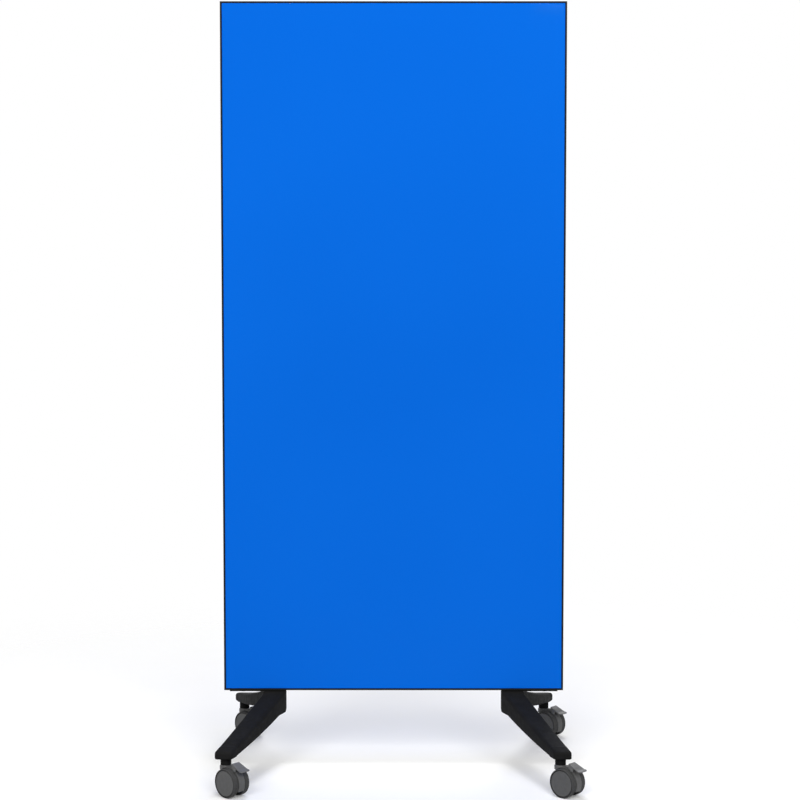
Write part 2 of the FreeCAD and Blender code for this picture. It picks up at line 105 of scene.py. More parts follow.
# %% Colour management
scene.view_settings.view_transform = "Standard"
print("view transform:", scene.view_settings.view_transform)

# %% [markdown]
# ## How a finish is put together
# Each finish is one Principled shader. Values that are the same all over go straight on its sockets.
# What varies, such as a grain or a tint, comes from noise on Object coordinates, in real metres.
# Image textures would need files and unwrapping, and noise keeps its true scale on every piece.

# %% A finish and its patterns
class Finish:
    """One procedural material, built up from patterns in object space."""

    def __init__(self, name, **constants):
        self.material = bpy.data.materials.new(name)
        self.material.use_nodes = True
        self.nodes = self.material.node_tree.nodes
        self.links = self.material.node_tree.links
        self.shader = self.nodes["Principled BSDF"]
        self.normal = None
        for label, value in constants.items():
            self.shader.inputs[label.replace("_", " ")].default_value = value
        self.place = self.nodes.new("ShaderNodeTexCoord").outputs["Object"]

    def pattern(self, grain, stretch=(1, 1, 1), detail=3.0):
        """Noise whose features are about grain metres wide; stretch draws it out along an axis."""
        mapping = self.nodes.new("ShaderNodeMapping")
        mapping.inputs["Scale"].default_value = [1 / (grain * s) for s in stretch]
        noise = self.nodes.new("ShaderNodeTexNoise")
        noise.inputs["Scale"].default_value = 1.0
        noise.inputs["Detail"].default_value = detail
        self.links.new(self.place, mapping.inputs["Vector"])
        self.links.new(mapping.outputs["Vector"], noise.inputs["Vector"])
        return noise.outputs["Fac"]

    def tint(self, pattern, dark, light):
        ramp = self.nodes.new("ShaderNodeValToRGB")
        for stop, position, colour in zip(ramp.color_ramp.elements, (0.35, 0.65), (dark, light)):
            stop.position = position
            stop.color = (*colour, 1.0)
        self.links.new(pattern, ramp.inputs["Fac"])
        self.links.new(ramp.outputs["Color"], self.shader.inputs["Base Color"])

    def polish(self, pattern, smooth, rough):
        span = self.nodes.new("ShaderNodeMapRange")
        span.inputs["From Min"].default_value = 0.3
        span.inputs["From Max"].default_value = 0.7
        span.inputs["To Min"].default_value = smooth
        span.inputs["To Max"].default_value = rough
        self.links.new(pattern, span.inputs["Value"])
        self.links.new(span.outputs["Result"], self.shader.inputs["Roughness"])

    def relief(self, pattern, depth):
        """Bumps of that depth in metres, added to any relief that is there already."""
        bump = self.nodes.new("ShaderNodeBump")
        bump.inputs["Strength"].default_value = 1.0
        bump.inputs["Distance"].default_value = depth
        self.links.new(pattern, bump.inputs["Height"])
        if self.normal:
            self.links.new(self.normal, bump.inputs["Normal"])
        self.normal = bump.outputs["Normal"]
        self.links.new(self.normal, self.shader.inputs["Normal"])


def grey(level):
    return (level, level, level)


finishes = {}
print("finish helper ready")

# %% [markdown]
# ## Blue glass
# The pane is clear glass with deep blue paint on its back, so from the front it is one glossy colour.
# Real transmission would be slow and show the hidden layers, so an opaque shader carries the blue.
# A faint drift of tone stands for the roller coat, and a very shallow wave for the pull of float glass.

# %% Blue glass
glass = Finish("blue_glass", Roughness=0.05, Specular_IOR_Level=0.03)
glass.tint(glass.pattern(0.7, detail=1.0), (0.0009, 0.134, 0.70), (0.0013, 0.141, 0.725))
glass.relief(glass.pattern(0.35, detail=0.0), 0.00012)
finishes["blue_glass"] = glass.material
print("glass finish:", glass.material.name)

# %% [markdown]
# ## Black metal: anodised frame, powder-coated castings, plates and stems
# The frame is extruded aluminium, so its grain runs along each rail and needs one finish for each direction.
# The feet are castings under a fine-textured powder coat: a dark tint, a dull sheen and a pebbly bump.
# Each has a short helper of its own, and the stretch and depth of the grain tell the two metals apart.

# %% Black metals
def anodised(name, stretch):
    rail = Finish(name, Specular_IOR_Level=0.16)
    grain = rail.pattern(0.0006, stretch, detail=4.0)
    rail.tint(grain, grey(0.0045), grey(0.0085))
    rail.polish(rail.pattern(0.02, stretch, detail=2.0), 0.34, 0.46)
    rail.relief(grain, 0.00001)
    return rail.material


def powder_coat(name, tone, depth):
    coat = Finish(name, Specular_IOR_Level=0.025)
    coat.tint(coat.pattern(0.045, detail=5.0), *map(grey, tone))
    coat.polish(coat.pattern(0.012, detail=3.0), 0.50, 0.66)
    coat.relief(coat.pattern(0.0011, detail=2.0), depth)
    return coat.material


frame_level = anodised("black_frame_level", (60, 1, 1))
frame_upright = anodised("black_frame_upright", (1, 1, 60))
finishes["black_frame"] = frame_upright
finishes["black_casting"] = powder_coat("black_casting", tone=(0.0105, 0.0142), depth=0.00016)
# The plates' black is darker than the castings': a real black plate, also darkened as painted shade for the
# shadowed strip between panel and foot.
finishes["black_plate"] = powder_coat("black_plate", tone=(0.0055, 0.0080), depth=0.00008)
finishes["black_stem"] = powder_coat("black_stem", tone=(0.0095, 0.0130), depth=0.00005)
print("black metals:", [m.name for m in bpy.data.materials if m.name.startswith("black_")])

# %% [markdown]
# ## Grey plastics and black rubber
# The rims and treads are also painted darker than their own grey, as painted shade for the recessed ring round
# each cap.
# Hood, wheels, caps and pedals are nylon mouldings with an eroded mould texture, each in its own grey.
# The treads are a softer, duller grey, and the seals are black rubber with almost no shine.
# One helper makes them all, so the greys stay related and only tone and sheen differ.

# %% Plastics and rubber
def moulded(name, tone, rough, depth, shine=0.35):
    nylon = Finish(name, Specular_IOR_Level=shine)
    nylon.tint(nylon.pattern(0.009, detail=4.0), *map(grey, tone))
    nylon.polish(nylon.pattern(0.004, detail=2.0), *rough)
    nylon.relief(nylon.pattern(0.0005, detail=2.0), depth)
    finishes[name] = nylon.material


moulded("grey_hood", tone=(0.084, 0.100), rough=(0.42, 0.55), depth=0.00004)
moulded("grey_pedal", tone=(0.125, 0.145), rough=(0.46, 0.58), depth=0.00004, shine=0.2)
# Painted shade: the rim's grey is darker than its own, standing in for the shade in the recess between cap and
# tread.
moulded("grey_wheel", tone=(0.024, 0.030), rough=(0.45, 0.60), depth=0.00003, shine=0.15)
moulded("grey_cap", tone=(0.072, 0.084), rough=(0.38, 0.50), depth=0.00003)
# Painted shade: the tread is darkened as well, to carry the shade of that recessed ring.
moulded("grey_tread", tone=(0.046, 0.056), rough=(0.60, 0.75), depth=0.00006, shine=0.2)
moulded("black_seal", tone=(0.004, 0.006), rough=(0.60, 0.75), depth=0.00002, shine=0.08)
print("plastics:", [n for n in finishes if n.startswith("grey_")])

# %% [markdown]
# ## Steel, fasteners and the hidden core
# The axles are plain steel, the bolts are blackened, and the sheets behind the glass are galvanised.
# The core is brown paper honeycomb, whose cell walls come from the edges of a Voronoi pattern.
# These pieces hardly show, but every node gets the finish that its real material has.

# %% Steel and core
def bare_metal(name, tone, rough, grain):
    metal = Finish(name, Metallic=1.0)
    metal.tint(metal.pattern(grain, detail=4.0), *map(grey, tone))
    metal.polish(metal.pattern(grain * 2, detail=2.0), *rough)
    finishes[name] = metal.material


bare_metal("plain_steel", tone=(0.42, 0.55), rough=(0.22, 0.34), grain=0.002)
bare_metal("black_bolt", tone=(0.035, 0.055), rough=(0.30, 0.45), grain=0.002)
bare_metal("backing_steel", tone=(0.38, 0.52), rough=(0.35, 0.50), grain=0.015)
bare_metal("corner_key", tone=(0.30, 0.38), rough=(0.40, 0.55), grain=0.004)

core = Finish("honeycomb_core", Roughness=0.9, Specular_IOR_Level=0.2)
cells = core.nodes.new("ShaderNodeTexVoronoi")
cells.feature = "DISTANCE_TO_EDGE"
cells_per_metre = 80.0
cells.inputs["Scale"].default_value = cells_per_metre
core.links.new(core.place, cells.inputs["Vector"])
core.tint(cells.outputs["Distance"], (0.30, 0.19, 0.09), (0.42, 0.28, 0.15))
finishes["honeycomb_core"] = core.material

for entry in frame["record"]["subparts"]:
    shown = frame["nodes"][entry["node"]].data
    shown.materials.clear()
    level = entry["node"] in ("frame_top", "frame_bottom")
    shown.materials.append(frame_level if level else finishes[entry["material_slot"]])
print("finishes on", len(frame["nodes"]), "nodes")

# %% [markdown]
# ## New pieces and where they ride
# A dressed piece stands for one CAD node or more, moves with that node's body and names its finish.
# Three short calls say so each time, so they are kept together in one helper.
# The mesh holds the piece's place, and the object itself stays at the origin, as a CAD node's object does.

# %% Dress a body with a piece
def dress(name, mesh, slot, body, *nodes):
    mesh.name = name
    if not mesh.materials:
        mesh.materials.append(finishes[slot])
    piece = bpy.data.objects.new(name, mesh)
    scene.collection.objects.link(piece)
    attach(piece, body)
    if nodes:
        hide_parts(*nodes)
    return piece


def plain_mesh(holder):
    """The evaluated mesh of an object, without its modifiers; the object itself is then thrown away."""
    graph = bpy.context.evaluated_depsgraph_get()
    mesh = bpy.data.meshes.new_from_object(holder.evaluated_get(graph))
    bpy.data.objects.remove(holder)
    return mesh


SAME_PLACE = 1e-6
FLAT_ANGLE = math.radians(0.5)


def merged_copy(node):
    """A copy of a CAD node's triangles as one connected mesh with flat faces joined up."""
    mesh = frame["nodes"][node].data.copy()
    shell = bmesh.new()
    shell.from_mesh(mesh)
    bmesh.ops.remove_doubles(shell, verts=shell.verts, dist=SAME_PLACE)
    bmesh.ops.dissolve_limit(shell, angle_limit=FLAT_ANGLE, verts=shell.verts, edges=shell.edges)
    shell.to_mesh(mesh)
    shell.free()
    mesh.materials.clear()
    holder = bpy.data.objects.new(node + "_copy", mesh)
    scene.collection.objects.link(holder)
    return holder


print("dressing helpers ready")

# %% [markdown]
# ## Panes and mounting plates
# Ground glass has a polished arris and pressed steel a broken edge: both catch a thin line of light.
# The CAD solids have the true outline already, so a merged copy with a small Bevel modifier is enough.
# The bevel only takes edges sharper than thirty degrees, which leaves the screw holes' walls round.
# Normals are weighted by area, so that the flat faces reflect as flat ones, right up to their edges.

# %% Panes and plates
def bevelled(node, edge):
    holder = merged_copy(node)
    holder.data.shade_smooth()
    bevel = holder.modifiers.new("edge", "BEVEL")
    bevel.width = edge
    bevel.segments = 2
    bevel.limit_method = "ANGLE"
    bevel.angle_limit = math.radians(30)
    holder.modifiers.new("flat faces", "WEIGHTED_NORMAL")
    return plain_mesh(holder)


for side in ("front", "rear"):
    node = side + "_glass"
    pane = dress(side + "_pane", bevelled(node, edge=0.00025), "blue_glass", "board", node)
    print(pane.name, len(pane.data.polygons), "faces")
for side in ("left", "right"):
    node = side + "_foot_plate"
    plate = dress(side + "_plate", bevelled(node, edge=0.0004), "black_plate", "board", node)
    print(plate.name, len(plate.data.polygons), "faces")

# %% [markdown]
# ## Cast feet
# Each foot is one casting, and a casting has no sharp inside corners: the arm flows into the boss.
# Filleting that by hand is hard, so a merged copy is rebuilt from small voxels and then relaxed.
# The voxels blend the corners, and the relaxing draws each edge into an even round.

# %% Cast feet
def relaxed(node, voxel, passes):
    holder = merged_copy(node)
    rebuild = holder.modifiers.new("rebuild", "REMESH")
    rebuild.mode = "VOXEL"
    rebuild.voxel_size = voxel
    relax = holder.modifiers.new("relax", "SMOOTH")
    relax.factor = 0.5
    relax.iterations = passes
    mesh = plain_mesh(holder)
    mesh.shade_smooth()
    return mesh


for side in ("left", "right"):
    node = side + "_foot"
    casting = dress(side + "_casting", relaxed(node, voxel=0.0013, passes=8), "black_casting", "board", node)
    print(casting.name, len(casting.data.polygons), "faces")

# %% [markdown]
# ## A way to write node trees
# Geometry Nodes make what repeats or follows a path: seals, wheels, ribs and screws.
# A small class keeps each tree short: it makes the named inputs, adds nodes and wires them up.
# Every tree ends the same way, with instances made real, edges shaded by angle and the finish set.

# %% Node tree helper
SHARP_ANGLE = math.radians(32)


class Tree:
    """A Geometry Nodes tree with named inputs, built one node at a time."""

    def __init__(self, name, **inputs):
        self.group = bpy.data.node_groups.new(name, "GeometryNodeTree")
        sockets = self.group.interface
        sockets.new_socket("Geometry", in_out="OUTPUT", socket_type="NodeSocketGeometry")
        sockets.new_socket("Geometry", in_out="INPUT", socket_type="NodeSocketGeometry")
        for label, kind in {**inputs, "Finish": "Material"}.items():
            sockets.new_socket(label, in_out="INPUT", socket_type="NodeSocket" + kind)
        self.inputs = self.group.nodes.new("NodeGroupInput").outputs
        self.output = self.group.nodes.new("NodeGroupOutput").inputs["Geometry"]

    def add(self, kind, wires, **settings):
        node = self.group.nodes.new(kind)
        for label, value in settings.items():
            setattr(node, label, value)
        for label, value in wires.items():
            socket = node.inputs[label]
            if isinstance(value, bpy.types.NodeSocket):
                self.group.links.new(value, socket)
            else:
                socket.default_value = value
        return node.outputs[0]

    def end(self, geometry):
        real = self.add("GeometryNodeRealizeInstances", {"Geometry": geometry})
        smooth = {"Geometry": real, "Shade Smooth": True}
        soft = self.add("GeometryNodeSetShadeSmooth", smooth, domain="FACE")
        angle = self.add("GeometryNodeInputMeshEdgeAngle", {})
        sharp = self.add("FunctionNodeCompare", {"A": angle, "B": SHARP_ANGLE}, operation="GREATER_THAN")
        flat = {"Geometry": soft, "Selection": sharp, "Shade Smooth": False}
        crisp = self.add("GeometryNodeSetShadeSmooth", flat, domain="EDGE")
        done = self.add("GeometryNodeSetMaterial", {"Geometry": crisp, "Material": self.inputs["Finish"]})
        self.group.links.new(done, self.output)
        return self


def grow(tree, data, slot, **values):
    """Runs a tree on a mesh or curve and returns the result as a plain mesh."""
    holder = bpy.data.objects.new("holder", data)
    scene.collection.objects.link(holder)
    modifier = holder.modifiers.new("grow", "NODES")
    modifier.node_group = tree.group
    sockets = [item for item in tree.group.interface.items_tree if item.in_out == "INPUT"]
    named = {item.name: item.identifier for item in sockets}
    modifier[named["Finish"]] = finishes[slot]
    for label, value in values.items():
        modifier[named[label]] = value
    return plain_mesh(holder)


print("node trees can be written")

# %% [markdown]
# ## Edge seals
# A rubber seal fills the joint between each pane's edge and the frame, all the way round.
# It is one profile along one closed path, so a domed section is swept along a rectangle.
# The tree works flat in X and Y, and a turn about X stands the ring up behind the pane's face.

# %% Edge seals
seal = Tree("edge_seal", Width="Float", Height="Float", Lip="Float", Depth="Float", Crown="Float",
            Place="Vector")
path = seal.add("GeometryNodeCurvePrimitiveQuadrilateral",
                {"Width": seal.inputs["Width"], "Height": seal.inputs["Height"]})
seal_end = seal.add("GeometryNodeCurvePrimitiveQuadrilateral",
                    {"Width": seal.inputs["Lip"], "Height": seal.inputs["Depth"]})
domed = seal.add("GeometryNodeFilletCurve", {"Curve": seal_end, "Count": 5, "Radius": seal.inputs["Crown"]},
                 mode="POLY")
swept = seal.add("GeometryNodeCurveToMesh", {"Curve": path, "Profile Curve": domed})
stood = seal.add("GeometryNodeTransform", {"Geometry": swept, "Translation": seal.inputs["Place"],
                                           "Rotation": (math.pi / 2, 0, 0)})
seal.end(stood)

seal_width = 0.0018
seal_crown = 0.0006
for side in ("front", "rear"):
    low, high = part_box(side + "_seal")
    gasket = grow(
        seal, bpy.data.meshes.new("seal"), "black_seal", Width=high.x - low.x - seal_width,
        Height=high.z - low.z - seal_width, Lip=seal_width, Depth=high.y - low.y, Crown=seal_crown,
        Place=(low + high) / 2,
    )
    piece = dress(side + "_gasket", gasket, "black_seal", "board", side + "_seal")
    print(piece.name, len(piece.data.polygons), "faces")

# %% [markdown]
# ## Bolts and screws
# Four long bolts sit deep in the hubs and four flat screws hold the plates, all with hexagon sockets.
# Each kind is one screw put on four points, so the tree builds a head, cuts the socket and adds the shank.
# The points are the vertices of a small mesh, read from the middle of the CAD fasteners.

# %% Bolts and screws
screw = Tree("socket_screw", Head="Float", Height="Float", Edge="Float", Socket="Float", Depth="Float",
             Shank="Float", Length="Float")


def along_z(geometry, height):
    raised = screw.add("ShaderNodeCombineXYZ", {"Z": height})
    return screw.add("GeometryNodeTransform", {"Geometry": geometry, "Translation": raised})


def worked_out(operation, first, second):
    node = screw.group.nodes.new("ShaderNodeMath")
    node.operation = operation
    for socket, value in zip(node.inputs, (first, second)):
        if isinstance(value, bpy.types.NodeSocket):
            screw.group.links.new(value, socket)
        else:
            socket.default_value = value
    return node.outputs[0]


inputs = screw.inputs
face_radius = worked_out("SUBTRACT", inputs["Head"], inputs["Edge"])
side_height = worked_out("SUBTRACT", inputs["Height"], inputs["Edge"])
head_face = worked_out("MULTIPLY", inputs["Height"], -1.0)
body = screw.add("GeometryNodeMeshCylinder",
                 {"Vertices": 48, "Radius": inputs["Head"], "Depth": side_height})
body = along_z(body, worked_out("MULTIPLY", side_height, -0.5))
nose = screw.add("GeometryNodeMeshCone", {"Vertices": 48, "Radius Top": inputs["Head"],
                                          "Radius Bottom": face_radius, "Depth": inputs["Edge"]})
nose = along_z(nose, head_face)
shank = screw.add("GeometryNodeMeshCylinder",
                  {"Vertices": 24, "Radius": inputs["Shank"], "Depth": inputs["Length"]})
shank = along_z(shank, worked_out("MULTIPLY", inputs["Length"], 0.5))
key_hole = screw.add("GeometryNodeMeshCylinder", {"Vertices": 6, "Radius": inputs["Socket"],
                                                  "Depth": worked_out("MULTIPLY", inputs["Depth"], 2.0)})
key_hole = along_z(key_hole, head_face)
whole = screw.group.nodes.new("GeometryNodeMeshBoolean")
whole.operation = "UNION"
for solid in (body, nose, shank):
    screw.group.links.new(solid, whole.inputs["Mesh 2"])
cut = screw.add("GeometryNodeMeshBoolean", {"Mesh 1": whole.outputs["Mesh"], "Mesh 2": key_hole},
                operation="DIFFERENCE")
screw.end(screw.add("GeometryNodeInstanceOnPoints", {"Points": inputs["Geometry"], "Instance": cut}))


screw_spacing = 0.010


def screw_points(name, height):
    """One point on the axis of each CAD screw, found from the rims of the shanks' ends."""
    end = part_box(name)[1].z - 10 * SAME_PLACE
    rim_points = {round(v.co.x, 4) for v in frame["nodes"][name].data.vertices if v.co.z > end}
    rims = []
    for x in sorted(rim_points):
        near = [rim for rim in rims if abs(rim[0] - x) < screw_spacing]
        if near:
            near[0].append(x)
        else:
            rims.append([x])
    places = bpy.data.meshes.new(name)
    places.from_pydata([((rim[0] + rim[-1]) / 2, 0, height) for rim in rims], [], [])
    return places


shank_radius = 0.004
bolt = dict(Head=0.0065, Height=0.008, Edge=0.0006, Socket=0.0034, Depth=0.004)
flat_screw = dict(Head=0.007, Height=0.0026, Edge=0.0009, Socket=0.0034, Depth=0.0016)
for name, sizes in (("hub_bolts", bolt), ("plate_screws", flat_screw)):
    low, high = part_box(name)
    seat = low.z + sizes["Height"]
    places = screw_points(name, seat)
    set_of_four = grow(screw, places, "black_bolt", Shank=shank_radius, Length=high.z - seat, **sizes)
    piece = dress("socket_" + name, set_of_four, "black_bolt", "board", name)
    print(piece.name, len(piece.data.polygons), "faces")

# %% [markdown]
# ## Four equal casters
# The four casters are alike and stand at the same angle, so each piece is made once, at the front left.
# The joints of the frame tell where every stem stands and which way the axle lies.
# A copy of the mesh is then moved by the distance between two stems, one copy for each body.

# %% Where the casters stand
joints = {joint["name"]: joint for joint in frame["joints"]}
corners = ("front_left", "front_right", "rear_left", "rear_right")
stems = {corner: Vector(joints[corner + "_swivel"]["pos_m"]) for corner in corners}
axle_way = Vector(joints["front_left_left_roll"]["axis"]).normalized()
axle_middle = Vector(joints["front_left_left_roll"]["pos_m"])
pedal_pivot = Vector(joints["front_left_brake_press"]["pos_m"])
up = Vector((0, 0, 1))
trail_way = axle_way.cross(up)


def at_each_corner(label, mesh, slot, body, node=None):
    for corner in corners:
        copy = mesh.copy()
        copy.transform(Matrix.Translation(stems[corner] - stems["front_left"]))
        nodes = [f"{corner}_{node}"] if node else []
        dress(f"{corner}_{label}", copy, slot, body.format(corner), *nodes)
    print(label, "at", len(corners), "corners,", len(mesh.polygons), "faces each")


def matrix_from(x, y, z, place):
    rows = [(x[i], y[i], z[i], place[i]) for i in range(3)]
    return Matrix((*rows, (0, 0, 0, 1)))


def span(node, way, start):
    """Nearest and farthest point of a CAD node along a direction from a start, in millimetres."""
    reaches = [(corner.co - start).dot(way) * 1000 for corner in frame["nodes"][node].data.vertices]
    return min(reaches), max(reaches)


print("stems at", [place[:2] for place in stems.values()])

# %% [markdown]
# ## Turned pieces
# Tyres, rims, caps and stem collars are all bodies of revolution: one half section, turned about an axle.
# The section is a closed curve with rounded corners, and the tree sweeps it round a circle.
# Where a section touches the axis, the points there meet, so merging by distance closes the pole.

# %% Turned pieces
turned = Tree("turned_piece", Radius="Float", Steps="Int")
circle_sizes = {"Resolution": turned.inputs["Steps"], "Radius": turned.inputs["Radius"]}
circle = turned.add("GeometryNodeCurvePrimitiveCircle", circle_sizes, mode="RADIUS")
ring = turned.add("GeometryNodeCurveToMesh", {"Curve": circle, "Profile Curve": turned.inputs["Geometry"]})
closed = turned.add("GeometryNodeMergeByDistance", {"Geometry": ring, "Distance": SAME_PLACE})
turned.end(turned.add("GeometryNodeTransform", {"Geometry": closed, "Rotation": (math.pi, 0, 0)}))


def rounded(corners, steps=6, lead=0.05):
    """Points of a closed section, given as (radius, height, round) corners in millimetres.

    A point a short lead before and after each arc keeps the shading of the straight stretches flat.
    """
    points = []
    for i, (r, h, size) in enumerate(corners):
        here = Vector((r, h))
        before = Vector(corners[i - 1][:2]) - here
        after = Vector(corners[(i + 1) % len(corners)][:2]) - here
        if not size:
            points.append(here)
            continue
        half = before.angle(after) / 2
        reach = size / math.tan(half)
        centre = here + (before.normalized() + after.normalized()).normalized() * (size / math.sin(half))
        start = here + before.normalized() * reach - centre
        sweep = start.angle_signed(here + after.normalized() * reach - centre)
        points.append(here + before.normalized() * (reach + lead))
        for k in range(steps + 1):
            a = -sweep * k / steps
            points.append(centre + Vector((start.x * math.cos(a) - start.y * math.sin(a),
                                           start.x * math.sin(a) + start.y * math.cos(a))))
        points.append(here + after.normalized() * (reach + lead))
    return [point * 0.001 for point in points]


def turn(section, slot, steps, place):
    ring_radius = 0.02
    curve = bpy.data.curves.new("section", "CURVE")
    curve.dimensions = "3D"
    spline = curve.splines.new("POLY")
    points = rounded(section)
    spline.points.add(len(points) - 1)
    for dot, point in zip(spline.points, points):
        dot.co = (point.x - ring_radius, point.y, 0, 1)
    spline.use_cyclic_u = True
    mesh = grow(turned, curve, slot, Radius=ring_radius, Steps=steps)
    mesh.transform(place)
    return mesh


print("turning tree ready")

# %% [markdown]
# ## Wheels, treads and caps
# Each wheel is a rim with a soft tread pressed on and a cap snapped in on its outer side.
# The sections follow the CAD solids and add what a mould leaves: a parting line and a shallow dish.
# The left wheels are the right ones turned half round about the upright, which keeps their faces outward.

# %% Wheels, treads and caps
inner, outer = span("front_left_tyre_right", axle_way, axle_middle)
tread = span("front_left_tyre_right", up, axle_middle)[1]
rim = span("front_left_wheel_right", up, axle_middle)[1]
cap = span("front_left_cap_right", up, axle_middle)[1]
seat, face = span("front_left_cap_right", axle_way, axle_middle)
bore, nave, lip = 3.05, 8.0, rim - 0.9
web = seat - 3.0
inner_edge, outer_edge = inner + 0.5, outer - 0.5
parting, notch = (inner + outer) / 2, tread - 0.2
dish = face - 0.4
tread_section = [
    (rim, inner_edge, 0.2), (tread, inner, 1.5), (tread, parting - 0.3, 0), (notch, parting - 0.1, 0),
    (notch, parting + 0.1, 0), (tread, parting + 0.3, 0), (tread, outer, 1.5), (rim, outer_edge, 0.2),
]
rim_section = [
    (bore, inner, 0.2), (nave, inner, 0.4), (nave, web, 0.5), (lip, web, 0.5), (lip, inner_edge, 0.2),
    (rim, inner_edge, 0.2), (rim, outer_edge, 0.3), (lip, outer_edge, 0.3), (lip, seat, 0), (bore, seat, 0),
]
cap_section = [
    (0, seat, 0), (cap, seat, 0.2), (cap, face, 0.9), (cap - 2.3, face, 0.6), (cap - 3.0, dish, 0.6),
    (0, dish, 0),
]
wheel_steps = 96
right_side = matrix_from(trail_way, -up, axle_way, axle_middle)
left_side = matrix_from(-trail_way, -up, -axle_way, axle_middle)
wheel_pieces = (
    ("tread_", tread_section, "grey_tread", "tyre_"),
    ("rim_", rim_section, "grey_wheel", "wheel_"),
    ("disc_", cap_section, "grey_cap", "cap_"),
)
for side, place in (("left", left_side), ("right", right_side)):
    wheel_body = "{}_" + side + "_wheel"
    for label, section, slot, node in wheel_pieces:
        mesh = turn(section, slot, wheel_steps, place)
        at_each_corner(label + side, mesh, slot, wheel_body, node + side)

# %% [markdown]
# ## Stems
# The stem is a steel pin with a black collar, and it carries the caster under the boss of the foot.
# It is turned too, but about the upright, so the same tree makes it with another section.
# A shallow groove near the collar's foot is where the retaining ring would snap in.

# %% Stems
stem_foot = Vector((stems["front_left"].x, stems["front_left"].y, 0))
pin_low, pin_high = span("front_left_stem", up, stem_foot)
collar = span("front_left_stem", Vector((1, 0, 0)), stem_foot)[1]
pin = 5.0
collar_heights = [
    v.co.z * 1000 for v in frame["nodes"]["front_left_stem"].data.vertices
    if (v.co - stem_foot).xy.length * 1000 > (pin + collar) / 2
]
under, over = min(collar_heights), max(collar_heights)
groove = collar - 0.4
groove_low, groove_high = under + 3.4, under + 5.0
stem_section = [
    (0, pin_low, 0), (pin, pin_low, 1.0), (pin, under, 0), (collar, under, 0.6), (collar, groove_low, 0.2),
    (groove, groove_low + 0.4, 0.1), (groove, groove_high - 0.4, 0.1), (collar, groove_high, 0.2),
    (collar, over, 0.3), (pin, over, 0), (pin, pin_high, 1.0), (0, pin_high, 0),
]
stem_steps = 64
stem = turn(stem_section, "black_stem", stem_steps, Matrix.Translation(stem_foot))
at_each_corner("collar", stem, "black_stem", "board", "stem")

# %% [markdown]
# ## Hoods and pedals
# The hood sits between the two wheels, and the pedal is a bent plate on two cheeks, both moulded in nylon.
# Like the castings, they have soft inside corners, so they are rebuilt from voxels, only finer.
# One hood and one pedal are made, and the corners share them.

# %% Hoods and pedals
hood = relaxed("front_left_hood", voxel=0.0006, passes=4)
at_each_corner("shell", hood, "grey_hood", "{}_caster", "hood")
pedal = relaxed("front_left_pedal", voxel=0.00045, passes=3)
at_each_corner("lever", pedal, "grey_pedal", "{}_brake", "pedal")

# %% [markdown]
# ## Grip ribs on the pedals
# Low ribs across the pedal keep the shoe from sliding off.
# They repeat at a steady pitch, so a line of points carries one rounded bar each.
# The tree lays them out flat, and a matrix then sets them on the slope of the tongue.

# %% Grip ribs
ribs = Tree("grip_ribs", Count="Int", Pitch="Vector", Half="Vector", Width="Float", Height="Float",
            Crown="Float")
row = ribs.add("GeometryNodeMeshLine", {"Count": ribs.inputs["Count"], "Offset": ribs.inputs["Pitch"]})
opposite = ribs.add("ShaderNodeVectorMath", {0: ribs.inputs["Half"], 1: (-1, -1, -1)}, operation="MULTIPLY")
bar = ribs.add("GeometryNodeCurvePrimitiveLine", {"Start": opposite, "End": ribs.inputs["Half"]})
bar_end = ribs.add("GeometryNodeCurvePrimitiveQuadrilateral",
                   {"Width": ribs.inputs["Width"], "Height": ribs.inputs["Height"]})
bar_rounds = {"Curve": bar_end, "Count": 4, "Radius": ribs.inputs["Crown"]}
bar_end = ribs.add("GeometryNodeFilletCurve", bar_rounds, mode="POLY")
rib = ribs.add("GeometryNodeCurveToMesh", {"Curve": bar, "Profile Curve": bar_end, "Fill Caps": True})
ribs.end(ribs.add("GeometryNodeInstanceOnPoints", {"Points": row, "Instance": rib}))

# The ribs start from a point on the tongue's upper face, measured from the pedal's pin.
tongue_slope = math.radians(24)
tongue_top = pedal_pivot + trail_way * 0.003 + up * 0.0084
first_rib_reach = 0.0045
rib_sink = 0.0001
down_slope = trail_way * math.cos(tongue_slope) - up * math.sin(tongue_slope)
plate_normal = trail_way * math.sin(tongue_slope) + up * math.cos(tongue_slope)
first_rib = tongue_top + down_slope * first_rib_reach - plate_normal * rib_sink
set_of_ribs = grow(ribs, bpy.data.meshes.new("ribs"), "grey_pedal", Count=5, Pitch=(0.0032, 0, 0),
                   Half=(0, 0.0105, 0), Width=0.0009, Height=0.0009, Crown=0.0003)
set_of_ribs.transform(matrix_from(down_slope, axle_way, plate_normal, first_rib))
at_each_corner("grip_ribs", set_of_ribs, "grey_pedal", "{}_brake")

# %% [markdown]
# ## Floor
# A pale floor takes the shadow of the wheels and feet, and fades away with distance from the object.
# Beyond the fade the white world shows, so there is no horizon line behind the board.
# The fade is a gradient on the floor's own coordinates and mixes the floor with a transparent shader.
# Rays that only carry light meet a duller paint, which keeps the undersides of the feet dark.
# A faint glow, only for rays that are seen, lifts the lit floor to the white of the world.

# %% Floor
def seen_rays(nodes, links):
    """One for rays of the camera and of mirrors and glass, zero for rays that only carry light."""
    rays = nodes.new("ShaderNodeLightPath")
    seen = rays.outputs["Is Camera Ray"]
    for kind in ("Is Glossy Ray", "Is Transmission Ray"):
        either = nodes.new("ShaderNodeMath")
        either.operation = "MAXIMUM"
        links.new(seen, either.inputs[0])
        links.new(rays.outputs[kind], either.inputs[1])
        seen = either.outputs["Value"]
    return seen


